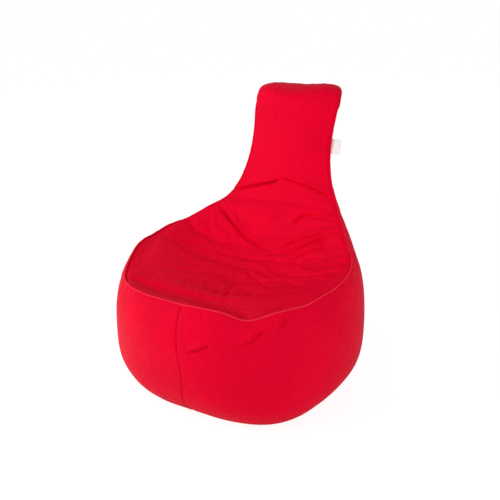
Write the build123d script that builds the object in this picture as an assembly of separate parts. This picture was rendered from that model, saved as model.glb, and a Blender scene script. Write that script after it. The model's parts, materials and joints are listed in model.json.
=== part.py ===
from build123d import *
import math
import os
from collections import namedtuple

# High-backed bean bag chair.
# Millimetres, +Z up, front towards -Y, origin on the floor under the middle of the drum.

# Cover, liner and bead fill
cover_thickness = 1.5
liner_thickness = 0.8
layer_gap = 0.5
seam_gap = 0.3
base_seam_height = 26

# Form of the filled bag: one row for each level, from the floor to the top of the headrest
Level = namedtuple("Level", "height half_width middle_y front_reach rear_reach")
bag_levels = [
    Level(0, 294, -15, 288, 286),
    Level(30, 344, -17, 342, 322),
    Level(110, 400, -25, 394, 355),
    Level(230, 416, -35, 402, 370),
    Level(360, 406, -30, 397, 372),
    Level(450, 368, -5, 365, 362),
    Level(530, 280, 80, 400, 287),
    Level(600, 207, 185, 400, 190),
    Level(680, 168, 248, 300, 132),
    Level(800, 149, 316, 200, 92),
    Level(890, 154, 350, 200, 74),
    Level(935, 152, 366, 200, 60),
    Level(985, 138, 378, 200, 52),
]

# Form of the seat and the front of the back: one row for each cross line, from the front edge up.
# The middle of the line, the tilt of the surface there, half the line's span, and how far its
# ends stand above the middle (a hollow) or below it (a crown).
CrossLine = namedtuple("CrossLine", "y z tilt half_span end_rise")
front_lines = [
    CrossLine(-520, 470, 0, 450, 40),
    CrossLine(-395, 424, 10, 450, 40),
    CrossLine(-200, 372, 5, 450, 94),
    CrossLine(0, 382, -10, 450, 106),
    CrossLine(120, 430, -35, 420, 90),
    CrossLine(190, 524, -65, 340, 34),
    CrossLine(236, 620, -78, 250, -42),
    CrossLine(256, 740, -80, 220, -70),
    CrossLine(282, 852, -76, 220, -74),
    CrossLine(305, 914, -62, 220, -64),
    CrossLine(345, 949, -32, 220, -48),
    CrossLine(450, 968, -4, 220, -40),
]
hollow_direction = Vector(0, -0.64, 0.77)
hollow_reach = 1500

# Front seam between the two side bands, and the seams beside the back panel,
# as distances from the middle at the floor and at the top
front_seam_x = 14
back_seam_floor = 215
back_seam_top = 60

# Bend in the neck, where the back leans on the seat
neck_y = 306
neck_z = 664
neck_tilt = 17
lean_limit = 20
lean_spare = 2
knuckle_radius = 48
knuckle_gap = 0.5

# Zip across the base
zip_length = 420
zip_y = 110
recess_width = 46
recess_end_room = 14
recess_height = 12
slider_headroom = 2.5
slot_half_width = 7
tape_width = 16
tape_thickness = 0.8
tape_edge = 1.6
tooth_pitch = 5
tooth_gap = 0.3
tooth_overlap = 1.0
tooth_reach = 4.2
tooth_height = 2.4
stop_length = 3
slider_length = 18
slider_width = 10.4
slider_wall = 1.0
slider_gap = 0.3
post_length = 3.5
post_width = 2.2
ear_height = 3.2
ear_wall = 1.2
pivot_radius = 0.8
pivot_gap = 0.2
pull_length = 22
pull_width = 6
pull_thickness = 1.4
pull_droop = 12

# Label sewn into the right edge of the back
label_height = 56
label_width = 40
label_thickness = 1.0
label_z = 774
label_stand_off = 0.4

# Region boxes reach well past the bag
far = 1200


def bag_section(level, inset, lift):
    """Closed outline of the bag at one level: two half ellipses of unlike depth."""
    half_width = level.half_width - inset
    front = level.front_reach - inset
    rear = level.rear_reach - inset
    arcs = [
        EllipticalCenterArc((0, 0), half_width, front, start_angle=270, arc_size=90),
        EllipticalCenterArc((0, 0), half_width, rear, start_angle=0, arc_size=90),
        EllipticalCenterArc((0, 0), half_width, rear, start_angle=90, arc_size=90),
        EllipticalCenterArc((0, 0), half_width, front, start_angle=180, arc_size=90),
    ]
    return Pos(0, level.middle_y, level.height + lift) * Wire(arcs)


def full_bag(inset):
    """The bag before its seat is hollowed, drawn in by the inset on every side."""
    sections = []
    for level in bag_levels:
        lift = 0
        if level is bag_levels[0]:
            lift = inset
        if level is bag_levels[-1]:
            lift = -inset
        sections.append(bag_section(level, inset, lift))
    return Solid.make_loft(sections)


def front_line(line, inset):
    """One cross line of the seat surface, as an arc through its middle and its two ends."""
    tilt = math.radians(line.tilt)
    outward = Vector(0, math.sin(tilt), math.cos(tilt))
    middle = Vector(0, line.y, line.z) - outward * inset
    end = middle + outward * line.end_rise
    return Wire([ThreePointArc((-line.half_span, end.Y, end.Z), middle, (line.half_span, end.Y, end.Z))])


def above_front(inset):
    """Everything in front of and above the seat surface, which is sunk by the inset."""
    surface = Shell.make_loft([front_line(line, inset) for line in front_lines]).faces()[0]
    return Solid.extrude(surface, hollow_direction.normalized() * hollow_reach)


def zip_recess(inset, headroom):
    """Recess in the base that keeps the zip off the floor."""
    length = zip_length + 2 * (recess_end_room + inset)
    width = recess_width + 2 * inset
    height = recess_height + inset + headroom
    return Pos(0, zip_y, 0) * Box(length, width, height, align=(Align.CENTER, Align.CENTER, Align.MIN))


def bag(inset, headroom=0):
    """The filled bag with its hollowed seat and its zip recess."""
    return full_bag(inset) - above_front(inset) - zip_recess(inset, headroom)


def slab(z_low, z_high):
    """Level slab of space between two heights."""
    return Pos(0, 0, z_low) * Box(far, far, z_high - z_low, align=(Align.CENTER, Align.CENTER, Align.MIN))


def block(x_low, x_high, y_low, y_high, z_low, z_high):
    """Box between two corners."""
    size = Box(x_high - x_low, y_high - y_low, z_high - z_low, align=(Align.MIN, Align.MIN, Align.MIN))
    return Pos(x_low, y_low, z_low) * size


def back_wedge(widen):
    """Space behind the bag between the two back seams, which draw together towards the top."""
    top = bag_levels[-1].height
    spread = (back_seam_floor - back_seam_top) / top
    low = back_seam_floor + widen + spread * far * 0.1
    high = back_seam_floor + widen - spread * far
    below = -0.1 * far
    outline = Wire.make_polygon([(-low, 0, below), (low, 0, below), (high, 0, far), (-high, 0, far)])
    return Solid.extrude(Face(outline), Vector(0, far, 0))


def neck_point(radius, angle):
    """Point in the chair's middle plane, by its distance and angle from the neck's own direction."""
    turn = math.radians(neck_tilt + angle)
    return (0, neck_y + radius * math.sin(turn), neck_z + radius * math.cos(turn))


def neck_sector(half_angle):
    """Space above the neck bend, open by an angle to each side of the neck's direction."""
    corners = [
        (0, neck_y, neck_z),
        neck_point(far, half_angle),
        neck_point(2 * far, half_angle / 2),
        neck_point(2 * far, 0),
        neck_point(2 * far, -half_angle / 2),
        neck_point(far, -half_angle),
    ]
    return Pos(-far / 2, 0, 0) * Solid.extrude(Face(Wire.make_polygon(corners)), Vector(far, 0, 0))


def knuckle(radius):
    """Round core of beads at the neck bend, across the whole neck."""
    return Pos(0, neck_y, neck_z) * Rot(0, 90, 0) * Cylinder(radius, far)


def make_front_panel():
    return (full_bag(0) - above_front(0)) & above_front(cover_thickness)


def make_wall():
    """Sides and back of the cover, between the base seam and the front panel."""
    wall = full_bag(0) - full_bag(cover_thickness)
    return (wall - above_front(cover_thickness + seam_gap)) & slab(base_seam_height, far)


def make_base():
    """Bottom of the cover, with the slot that the zip closes."""
    base = (bag(0) - bag(cover_thickness)) & slab(0, base_seam_height - seam_gap)
    slot_half_length = zip_length / 2 + recess_end_room - cover_thickness
    slot = block(
        -slot_half_length,
        slot_half_length,
        zip_y - slot_half_width,
        zip_y + slot_half_width,
        recess_height - cover_thickness,
        recess_height + 2 * cover_thickness,
    )
    return base - slot


def make_fills():
    """Beads of the seat and of the back, parted at the neck so that the back can lean."""
    depth = cover_thickness + liner_thickness + 2 * layer_gap
    beads = bag(depth, slider_headroom)
    half_room = (lean_limit + lean_spare) / 2
    core = beads & knuckle(knuckle_radius)
    seat = (beads - neck_sector(90 + half_room)) + core
    back = (beads & neck_sector(90 - half_room)) - knuckle(knuckle_radius + knuckle_gap)
    return seat, back


def make_liner():
    outside = cover_thickness + layer_gap
    return bag(outside, slider_headroom) - bag(outside + liner_thickness, slider_headroom)


# Levels of the zip's parts under the roof of the recess
tape_top = recess_height
tape_middle = tape_top - tape_thickness / 2
tooth_low = tape_middle - tooth_height / 2
tooth_high = tape_middle + tooth_height / 2
tooth_width = tooth_pitch / 2 - tooth_gap
tooth_count = int((zip_length - slider_length) / tooth_pitch)
teeth_start = -zip_length / 2
slider_rest_x = teeth_start + tooth_count * tooth_pitch + post_length + slider_gap - slider_length / 2
pivot_x = slider_rest_x
plate_low = tooth_low - slider_gap - slider_wall
pivot_z = plate_low - ear_height + ear_wall


def make_tape(side):
    """One half of the zip's tape: side is -1 for the front, +1 for the rear."""
    half_length = zip_length / 2 + recess_end_room - 2 * cover_thickness
    near = zip_y + side * tape_edge
    away = zip_y + side * (tape_edge + tape_width)
    return block(
        -half_length, half_length, min(near, away), max(near, away), tape_top - tape_thickness, tape_top
    )


def make_teeth(side):
    """Row of teeth that clasp the edge of one tape and reach past the middle between the other row's."""
    offset = 0 if side < 0 else tooth_pitch / 2
    tip = zip_y - side * tooth_overlap
    root = zip_y + side * tooth_reach
    edge = zip_y + side * tape_edge
    teeth = []
    for index in range(tooth_count):
        x = teeth_start + index * tooth_pitch + offset
        tooth = block(x, x + tooth_width, min(tip, root), max(tip, root), tooth_low, tooth_high)
        clasp = block(
            x - tooth_width,
            x + 2 * tooth_width,
            min(edge, 2 * root - edge),
            max(edge, 2 * root - edge),
            tape_top - tape_thickness,
            tape_top,
        )
        teeth.append(tooth - clasp)
    return Compound(children=teeth)


def make_top_stops():
    """Blocks at the closed end, one on each tape, that the slider runs up to."""
    x = slider_rest_x + slider_length / 2 + slider_gap
    stops = []
    for side in (-1, 1):
        inner = zip_y + side * tape_edge
        outer = zip_y + side * tooth_reach
        stops.append(
            block(x, x + stop_length, min(inner, outer), max(inner, outer), tooth_low, tape_top - tape_thickness)
        )
    return Compound(children=stops)


def make_bottom_stop():
    """Block across both tapes at the end where the zip starts to open."""
    x = teeth_start - slider_gap
    return block(
        x - stop_length, x, zip_y - tooth_reach, zip_y + tooth_reach, tooth_low, tape_top - tape_thickness
    )


def make_slider():
    """Two plates round the teeth, the post that parts them, and the ears and pivot for the pull."""
    x_low = slider_rest_x - slider_length / 2
    x_high = slider_rest_x + slider_length / 2
    half = slider_width / 2
    plate_top = plate_low + slider_wall
    roof_low = tooth_high + slider_gap
    post = post_width / 2
    slider = block(x_low, x_high, zip_y - half, zip_y + half, plate_low, plate_top)
    slider += block(x_low, x_high, zip_y - half, zip_y + half, roof_low, roof_low + slider_wall)
    slider += block(x_high - post_length, x_high, zip_y - post, zip_y + post, plate_top, roof_low)
    ear_gap = pull_width / 2 + pivot_gap
    for side in (-1, 1):
        inner = zip_y + side * ear_gap
        outer = zip_y + side * (ear_gap + ear_wall)
        slider += block(
            pivot_x - ear_wall,
            pivot_x + ear_wall,
            min(inner, outer),
            max(inner, outer),
            pivot_z - ear_wall,
            plate_low,
        )
    pivot = Pos(pivot_x, zip_y, pivot_z) * Rot(90, 0, 0) * Cylinder(pivot_radius, 2 * (ear_gap + ear_wall / 2))
    return slider + pivot


def make_pull():
    """Flat tab hooked on the slider's pivot, lying towards the open end of the zip."""
    eye = pivot_radius + pivot_gap + pull_thickness / 2
    tab = Box(pull_length, pull_width, pull_thickness, align=(Align.MAX, Align.CENTER, Align.CENTER))
    pull = tab + Rot(90, 0, 0) * Cylinder(eye, pull_width)
    pull -= Rot(90, 0, 0) * Cylinder(pivot_radius + pivot_gap, 2 * pull_width)
    return Pos(pivot_x, zip_y, pivot_z) * Rot(0, -pull_droop, 0) * pull


def edge_point(front_panel, z):
    """Outermost point of the front panel's right edge at one height."""
    cut = front_panel & slab(z, z + cover_thickness)
    return max((vertex.center() for vertex in cut.vertices()), key=lambda point: point.X)


def make_label(front_panel):
    """Blank woven label, standing out of the right edge of the back."""
    low = edge_point(front_panel, label_z - label_height / 2)
    high = edge_point(front_panel, label_z + label_height / 2)
    root_x = max(low.X, high.X) + label_stand_off
    along = (high - low).normalized()
    upright = Vector(0, along.Y, along.Z).normalized()
    middle = (low + high) * 0.5
    plane = Plane(origin=(root_x, middle.Y, middle.Z), x_dir=(1, 0, 0), z_dir=Vector(1, 0, 0).cross(upright))
    label = Box(label_width, label_height, label_thickness, align=(Align.MIN, Align.CENTER, Align.CENTER))
    return plane * label


def build():
    front_panel = make_front_panel()
    wall = make_wall()
    base = make_base()
    seat_fill, back_fill = make_fills()
    sides = wall - back_wedge(seam_gap)
    front_base = block(-far, far, -far, zip_y - seam_gap / 2, 0, far)
    rear_base = block(-far, far, zip_y + seam_gap / 2, far, 0, far)
    left_half = block(-far, front_seam_x - seam_gap / 2, -far, far, 0, far)
    right_half = block(front_seam_x + seam_gap / 2, far, -far, far, 0, far)
    return {
        "front_panel": front_panel,
        "back_panel": wall & back_wedge(0),
        "left_side_band": sides & left_half,
        "right_side_band": sides & right_half,
        "base_panel_front": base & front_base,
        "base_panel_rear": base & rear_base,
        "inner_liner": make_liner(),
        "seat_bead_fill": seat_fill,
        "back_bead_fill": back_fill,
        "zip_tape_front": make_tape(-1),
        "zip_tape_rear": make_tape(1),
        "zip_teeth_front": make_teeth(-1),
        "zip_teeth_rear": make_teeth(1),
        "zip_top_stops": make_top_stops(),
        "zip_bottom_stop": make_bottom_stop(),
        "zip_slider": make_slider(),
        "zip_pull": make_pull(),
        "side_label": make_label(front_panel),
    }


if __name__ == "__main__":
    os.makedirs("parts", exist_ok=True)
    for name, piece in build().items():
        export_step(piece, f"parts/{name}.step")
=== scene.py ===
"""Looks of a high-backed bean bag chair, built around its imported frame."""

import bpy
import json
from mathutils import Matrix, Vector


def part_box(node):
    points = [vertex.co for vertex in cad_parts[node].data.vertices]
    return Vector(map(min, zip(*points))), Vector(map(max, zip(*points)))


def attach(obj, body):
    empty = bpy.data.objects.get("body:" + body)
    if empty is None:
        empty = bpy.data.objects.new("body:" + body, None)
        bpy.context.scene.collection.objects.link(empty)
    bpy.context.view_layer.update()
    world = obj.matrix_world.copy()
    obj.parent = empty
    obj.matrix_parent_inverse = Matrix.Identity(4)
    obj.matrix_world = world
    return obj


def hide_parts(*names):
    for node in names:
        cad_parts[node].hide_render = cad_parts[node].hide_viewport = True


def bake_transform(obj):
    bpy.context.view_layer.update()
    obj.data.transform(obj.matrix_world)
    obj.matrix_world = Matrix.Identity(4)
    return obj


bl_info = {
    "name": "Bean Bag Chair",
    "version": (1, 0, 0),
    "blender": (4, 5, 0),
    "location": "View3D > Sidebar > Bean Bag",
    "description": "Sewn cover, seams, label, zip and studio of a high-backed bean bag chair",
    "category": "Add Mesh",
}

import json
import math

import bmesh
import bpy
import numpy as np
from bpy.props import FloatProperty, FloatVectorProperty, IntProperty, PointerProperty
from mathutils import Matrix, Vector
from mathutils.bvhtree import BVHTree
from mathutils.kdtree import KDTree

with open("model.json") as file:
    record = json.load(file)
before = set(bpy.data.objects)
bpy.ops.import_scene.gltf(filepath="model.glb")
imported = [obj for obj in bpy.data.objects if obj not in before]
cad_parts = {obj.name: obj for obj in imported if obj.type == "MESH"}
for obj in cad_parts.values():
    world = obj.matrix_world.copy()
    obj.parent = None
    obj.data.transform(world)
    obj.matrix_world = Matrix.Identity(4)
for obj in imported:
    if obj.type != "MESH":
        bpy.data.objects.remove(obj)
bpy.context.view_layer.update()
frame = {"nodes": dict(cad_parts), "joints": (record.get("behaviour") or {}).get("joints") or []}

WEAVE_UV = "weave"
FORM_NAME = "cover_form"
INSIDE_NAME = "inside_form"
FRONT, LEFT, RIGHT, BACK = range(4)
PANELS = (
    (FRONT, "sewn_front_panel", "front_panel"),
    (LEFT, "sewn_left_band", "left_side_band"),
    (RIGHT, "sewn_right_band", "right_side_band"),
    (BACK, "sewn_back_panel", "back_panel"),
)
BASE_HALVES = (("sewn_base_front", "base_panel_front"), ("sewn_base_rear", "base_panel_rear"))
BASE_CUT_START, BASE_CUT_STEP = 0.02, 0.025
WALL_NODES = (
    "left_side_band", "right_side_band", "back_panel", "base_panel_front", "base_panel_rear")

# Bead fills: piece, node, and whether it lies above the neck
BEAD_FILLS = (("seat_beads", "seat_bead_fill", False), ("back_beads", "back_bead_fill", True))

# How far the liner and the beads lie inside the cover, and how high above the floor
LINER_INSET, LINER_FLOOR = 0.012, 0.016
BEAD_INSET, BEAD_FLOOR = 0.016, 0.020
BASE_SHARE = 0.94

# Their smoothing: rounds everywhere, and rounds near the rim with its width in rings of edges
ALL_ROUNDS, RIM_ROUNDS, RIM_RINGS = 4, 20, 5

# The front panel is a plain height field when it is looked at along this direction
SEAT_FACING = Vector((0, -0.64, 0.77)).normalized()
SEAT_UPHILL = Vector((0, 0.77, 0.64)).normalized()
SEAT_MIDDLE = Vector((0, 0.14, 0.47))

JOINTS = {joint["name"]: joint for joint in frame["joints"]}
NECK = Vector(JOINTS["back_lean"]["pos_m"])
NECK_TILT = math.radians(17)
NECK_UP = Vector((0, math.sin(NECK_TILT), math.cos(NECK_TILT)))
FRONT_SEAM_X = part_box("left_side_band")[1].x
BASE_SEAM_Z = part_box("right_side_band")[0].z
BACK_SEAM_FLOOR = 0.215
BACK_SEAM_SLOPE = 0.155 / 0.985
FLOOR_TONE = 0.9
WHITE = (1, 1, 1)

# Where the rear of the bands starts, how far from a back seam faces are cut, and the places of the cuts
REAR_START = 0.05
BACK_SEAM_REACH = 0.05
BACK_SEAM_CUTS = (0, -0.003, 0.003, -0.007, 0.007)

# Distances from which the front panel and the wall are looked for, and a place inside the wall
SEAT_FAR, WALL_FAR, WALL_INSIDE = 2, 1.5, 0.2

# Angles past which an edge stays sharp
BASE_SHARP, FOLD_SHARP = 0.6, 0.9

# Heights between which the headrest's rear is narrowed, with the rise and the fall of that
NARROW_START, NARROW_RISE = 0.62, 0.12
NARROW_END, NARROW_FALL = 0.95, 0.07
NARROW_REACH = 0.07

# Slow and quick unevenness of the rim, and how far it reaches into the cloth
RIM_WAVER, RIM_RIPPLE, RIM_REACH = 0.0025, 0.0020, 0.03

# The rolled edge is thinner up the back: heights and shares of its radius
ROLL_HEIGHTS = (0.43, 0.50)
ROLL_SHARES = (1, 0.3)
BASE_ROLL_SHARE = 0.7
ROLL_STAND = 0.6

# Slow and quick unevenness of the rolled edge
ROLL_WAVES = 0.25
ROLL_NOISE = (0.94, 1.06)

# Faces of the label's ribbon along and across it, and the ripple of its free end
RIBBON_FACES = (56, 16)
RIPPLE_HEIGHT, RIPPLE_TURN, RIPPLE_START = 0.0012, 2.4, 0.6

# Rounds in which the grids of the panel and of the wall are evened out
PANEL_ROUNDS = 40
WALL_ROUNDS = 10

# The swelling above a crease, in widths of the crease: its middle and its own width
SWELL_MIDDLE, SWELL_WIDTH = 1.9, 1.3
CREASE_REACH = 5

# Creases inside the bag are this much wider
INSIDE_WIDTH = 2.2

# Fading part of a ridge, and what is left of it at its ends
RIDGE_FADE, RIDGE_END = 0.4, 0.3

# Gathers on the front panel, as a share of those on the bands
PANEL_GATHERS = 0.6

# Hollow of the front panel beside the rim: middle, width and depth in grooves
HOLLOW_MIDDLE, HOLLOW_WIDTH, HOLLOW_DEPTH = 0.006, 0.0045, 1.5

# A stitched row's own groove, as shares of a seam's depth and width
ROW_DEPTH, ROW_WIDTH = 0.35, 0.5

# Where a stitched row starts and ends along its seam, and how far its thread stands out, in radii
ROW_START, ROW_END = 0.012, 0.010
THREAD_STAND = 0.4

# Hold on the seams and on the open cloth while it settles
SEAM_REACH = 0.002
SEAM_HOLD, OPEN_HOLD = 1.0, 0.04
SETTLING_CLOTH = {
    "quality": 5,
    "mass": 0.1,
    "air_damping": 1,
    "tension_stiffness": 14,
    "compression_stiffness": 14,
    "shear_stiffness": 6,
    "bending_stiffness": 0.02,
    "pin_stiffness": 1.0,
    "use_pressure": True,
    "uniform_pressure_force": 1.5,
}

# Lamps: size and place
KEY_SIZE, KEY_PLACE = 2.0, (-2.2, -2.3, 1.7)
FILL_SIZE, FILL_PLACE = 2.0, (3.0, -1.5, 1.3)
LAMP_AIM = (0, 0, 0.4)

# Axis inside the bag from which the wall is measured: heights and places
AXIS_HEIGHTS = (0.0, 0.40, 0.50, 0.58, 0.664, 0.80, 0.93, 0.97)
AXIS_PLACES = (-0.02, -0.02, 0.05, 0.13, 0.18, 0.20, 0.24, 0.33)

# Slow pushes that give the filled bag its uneven stance: place, reach and shift
PUSHES = (
    ((0.16, 0.28, 0.82), 0.13, (0.012, 0, 0)),
    ((0.22, 0.22, 0.57), 0.10, (0.010, 0, 0)),
    ((-0.14, 0.36, 0.93), 0.06, (0, 0, 0.006)),
    ((0.14, 0.35, 0.93), 0.07, (0.013, 0.004, 0.006)),
    ((-0.01, 0.40, 0.965), 0.09, (0, 0, -0.013)),
    ((0.11, 0.40, 0.950), 0.06, (0, 0, 0.007)),
    ((-0.10, 0.33, 0.925), 0.07, (0, -0.016, 0.010)),
    ((0.00, 0.33, 0.925), 0.07, (0, -0.016, 0.010)),
    ((0.10, 0.33, 0.925), 0.07, (0, -0.016, 0.010)),
    ((0.205, -0.345, 0.406), 0.05, (0, 0, -0.016)),
    ((0.285, -0.270, 0.402), 0.06, (0, 0, 0.012)),
    ((-0.37, -0.07, 0.44), 0.11, (-0.010, 0, 0.014)),
    ((-0.35, 0.06, 0.46), 0.06, (-0.006, 0, 0.010)),
    ((-0.225, 0.23, 0.56), 0.05, (0.009, 0, -0.004)),
    ((0.31, 0.15, 0.49), 0.06, (-0.006, 0, 0)),
    ((-0.34, -0.24, 0.08), 0.13, (-0.012, -0.008, 0)),
    ((0.0, -0.37, 0.02), 0.13, (-0.017, 0.026, 0)),
    ((-0.03, -0.43, 0.20), 0.13, (0.020, 0, 0)),
    ((0.24, -0.26, 0.02), 0.12, (0.018, -0.014, 0)),
    ((0.34, -0.01, 0.04), 0.12, (-0.018, -0.004, 0)),
)

# Creases of the cover: run, depth, width, swelling of the upper side, its droop and its direction
CREASES = (
    (((-0.208, 0.236, 0.582), (-0.171, 0.238, 0.593), (-0.135, 0.241, 0.604), (-0.071, 0.241, 0.624),
      (-0.027, 0.240, 0.635), (0.006, 0.242, 0.648)), 0.018, 0.0065, 0.008, 0.009, (0, 0.25, 1)),
    (((-0.014, 0.242, 0.651), (0.024, 0.243, 0.647), (0.058, 0.244, 0.642), (0.116, 0.248, 0.627),
      (0.170, 0.250, 0.611), (0.200, 0.250, 0.602)), 0.016, 0.0060, 0.007, 0.008, (0, 0.25, 1)),
    (((-0.240, 0.193, 0.550), (-0.226, 0.187, 0.541), (-0.197, 0.173, 0.520), (-0.149, 0.156, 0.486),
      (-0.103, 0.141, 0.457), (-0.052, 0.130, 0.440), (0.007, 0.119, 0.430), (0.035, 0.112, 0.424)),
     0.016, 0.0065, 0.006, 0.005, (0.6, 0.3, 0.8)),
    (((-0.016, 0.175, 0.499), (0.013, 0.187, 0.519), (0.074, 0.202, 0.546), (0.106, 0.205, 0.552)),
     0.003, 0.0055, 0.002, 0.001, (0, 0.3, 1)),
    (((0.060, 0.170, 0.494), (0.087, 0.185, 0.521), (0.108, 0.200, 0.545), (0.159, 0.200, 0.548),
      (0.240, 0.194, 0.547)), 0.010, 0.0055, 0.006, 0.004, (0, 0.3, 1)),
    (((0.036, 0.126, 0.434), (0.104, 0.146, 0.463), (0.165, 0.157, 0.490), (0.212, 0.160, 0.505),
      (0.280, 0.160, 0.524)), 0.010, 0.0060, 0.005, 0.003, (-0.3, 0.7, 0.7)),
    (((0.010, 0.096, 0.414), (0.087, 0.116, 0.432), (0.144, 0.135, 0.458), (0.202, 0.148, 0.487),
      (0.265, 0.154, 0.512)), 0.010, 0.0065, 0.005, 0.003, (-0.3, 0.7, 0.7)),
    (((0.105, 0.075, 0.411), (0.147, 0.114, 0.439), (0.191, 0.123, 0.456), (0.255, 0.122, 0.474)),
     0.009, 0.0065, 0.004, 0.003, (-0.2, 0.8, 0.6)),
    (((0.175, 0.072, 0.420), (0.228, 0.081, 0.435), (0.285, 0.094, 0.460)),
     0.007, 0.0065, 0.004, 0.002, (-0.2, 0.8, 0.6)),
    (((-0.180, 0.050, 0.411), (-0.076, 0.065, 0.403), (0.030, 0.079, 0.406), (0.174, 0.077, 0.421)),
     0.003, 0.0070, 0.002, 0.001, (0, 0.8, 0.6)),
    (((0.190, -0.022, 0.398), (0.255, -0.022, 0.412), (0.320, -0.045, 0.428)),
     0.0025, 0.0060, 0.002, 0.001, (0, 0.8, 0.6)),
    (((-0.245, 0.160, 0.514), (-0.225, 0.132, 0.476), (-0.203, 0.102, 0.443)),
     0.003, 0.0070, 0.002, 0.001, (1, 0, 0)),
    (((0.100, 0.263, 0.712), (0.130, 0.270, 0.690), (0.160, 0.272, 0.664)),
     0.004, 0.0060, 0.002, 0.001, (0.7, 0, 0.7)),
    (((0.025, 0.294, 0.892), (0.060, 0.291, 0.860), (0.095, 0.289, 0.828)),
     0.002, 0.0080, 0.002, 0.001, (0.7, 0, 0.7)),
    (((0.056, -0.438, 0.284), (0.093, -0.428, 0.304), (0.128, -0.416, 0.322)),
     0.008, 0.0060, 0.003, 0.004, (-0.4, 0, 0.9)),
    (((0.190, -0.384, 0.322), (0.229, -0.361, 0.337), (0.240, -0.347, 0.353), (0.262, -0.326, 0.366)),
     0.011, 0.0065, 0.002, 0.005, (-0.5, 0, 0.85)),
    (((0.280, -0.308, 0.362), (0.291, -0.293, 0.381), (0.300, -0.279, 0.395)),
     0.008, 0.0055, 0.002, 0.003, (-0.9, 0, 0.4)),
)

# Ridges that stand out of the side bands below the rim: run, height and width
RIDGES = (
    (((0.040, -0.438, 0.285), (0.087, -0.428, 0.315), (0.155, -0.402, 0.335), (0.210, -0.372, 0.345),
      (0.262, -0.325, 0.372), (0.320, -0.262, 0.380)), 0.003, 0.0180),
    (((0.060, -0.436, 0.300), (0.087, -0.428, 0.315), (0.114, -0.420, 0.330)), 0.003, 0.0065),
    (((0.195, -0.382, 0.336), (0.221, -0.366, 0.347), (0.232, -0.352, 0.365), (0.248, -0.336, 0.375)),
     0.002, 0.0080),
    (((0.252, -0.334, 0.366), (0.266, -0.321, 0.375), (0.268, -0.312, 0.390)), 0.003, 0.0055),
    (((0.274, -0.313, 0.370), (0.281, -0.300, 0.386), (0.290, -0.286, 0.397)), 0.003, 0.0055),
    (((0.302, -0.287, 0.367), (0.310, -0.273, 0.381), (0.306, -0.268, 0.396)), 0.004, 0.0055),
    (((0.340, -0.244, 0.356), (0.362, -0.208, 0.368)), 0.004, 0.0060),
)


def length_setting(name, description, default):
    """Setting for a length in metres."""
    return FloatProperty(name=name, description=description, default=default, subtype="DISTANCE")


def share_setting(name, description, default):
    """Setting for a share of something."""
    return FloatProperty(name=name, description=description, default=default, subtype="FACTOR")


def power_setting(name, description, default):
    """Setting for the power of a lamp."""
    return FloatProperty(name=name, description=description, default=default, subtype="POWER")


def colour_setting(name, description, default):
    """Setting for a colour."""
    return FloatVectorProperty(name=name, description=description, default=default, size=3, subtype="COLOR")


def place_setting(name, description, default):
    """Setting for a point in space."""
    return FloatVectorProperty(
        name=name, description=description, default=default, size=3, subtype="TRANSLATION")


class BeanBagCoverSettings(bpy.types.PropertyGroup):
    """Sizes and colours of the sewn cover."""

    across: IntProperty(name="Across", description="Faces across the front panel, even", default=80)
    along: IntProperty(name="Along", description="Faces from the front to the headrest", default=150)
    down: IntProperty(name="Down", description="Faces from the rim to the base seam", default=60)
    front_corner: length_setting("Front Corner", "Rim length from the front seam to a mesh corner", 0.30)
    top_corner: length_setting("Top Corner", "Rim length from the top's middle to a mesh corner", 0.12)
    thickness: length_setting("Cloth", "Thickness of the cloth", 0.0012)
    groove: length_setting("Groove", "How deep the sewn seams draw in", 0.0030)
    groove_width: length_setting("Groove Width", "Width of the drawn-in strip", 0.0028)
    gather_height: length_setting("Gathers", "Height of the gathers beside the rim", 0.0030)
    settle_frames: IntProperty(name="Settle", description="Frames in which the cloth settles", default=12)
    settle_limit: length_setting("Settle Limit", "Furthest that the cloth may move as it settles", 0.006)
    wrinkle_gain: FloatProperty(
        name="Wrinkle Gain", description="How strongly the settled wrinkles are kept", default=1.6)
    rear_narrowing: share_setting("Rear Narrowing", "How much narrower the rear of the headrest is", 0.30)
    roll_radius: length_setting("Seam Roll", "Radius of the rolled edge along the rim", 0.0024)
    red: colour_setting("Red", "Colour of the cover", (0.80, 0.0015, 0.026))
    # The lighter red of the rolled edges is a painted highlight of the light that the rolled cloth catches.
    edge_highlight_red: colour_setting("Edge Highlight Red", "Colour of the rolled edges", (0.92, 0.025, 0.055))


class BeanBagStitchSettings(bpy.types.PropertyGroup):
    """Sizes of the top stitching."""

    length: length_setting("Stitch", "Length of a stitch", 0.0042)
    gap: length_setting("Gap", "Gap between two stitches", 0.0012)
    radius: length_setting("Thread", "Radius of the thread", 0.00045)
    offset: length_setting("Offset", "Distance of a stitched row from its seam", 0.006)


class BeanBagLabelSettings(bpy.types.PropertyGroup):
    """Sizes and colour of the side label."""

    height: length_setting("Height", "Height of the ribbon", 0.053)
    layer: length_setting("Layer", "Thickness of one layer", 0.0003)
    fold: length_setting("Fold", "Radius of the fold", 0.0005)
    root: length_setting("Root", "Length caught in the seam", 0.002)
    reach: length_setting("Reach", "Length outside the hinge", 0.037)
    setback: length_setting("Setback", "Depth of the ribbon behind the front of the seam", 0.005)
    drop: length_setting("Drop", "How far the ribbon sits below its hinge", 0.007)
    bend_start: length_setting("Bend Start", "Reach at which the ribbon starts to flap", 0.005)
    bend_end: length_setting("Bend End", "Reach past which the ribbon flaps freely", 0.015)
    curl: length_setting("Curl", "How far the fold bends back", 0.004)
    white: colour_setting("White", "Colour of the ribbon", (0.95, 0.93, 0.92))


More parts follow.
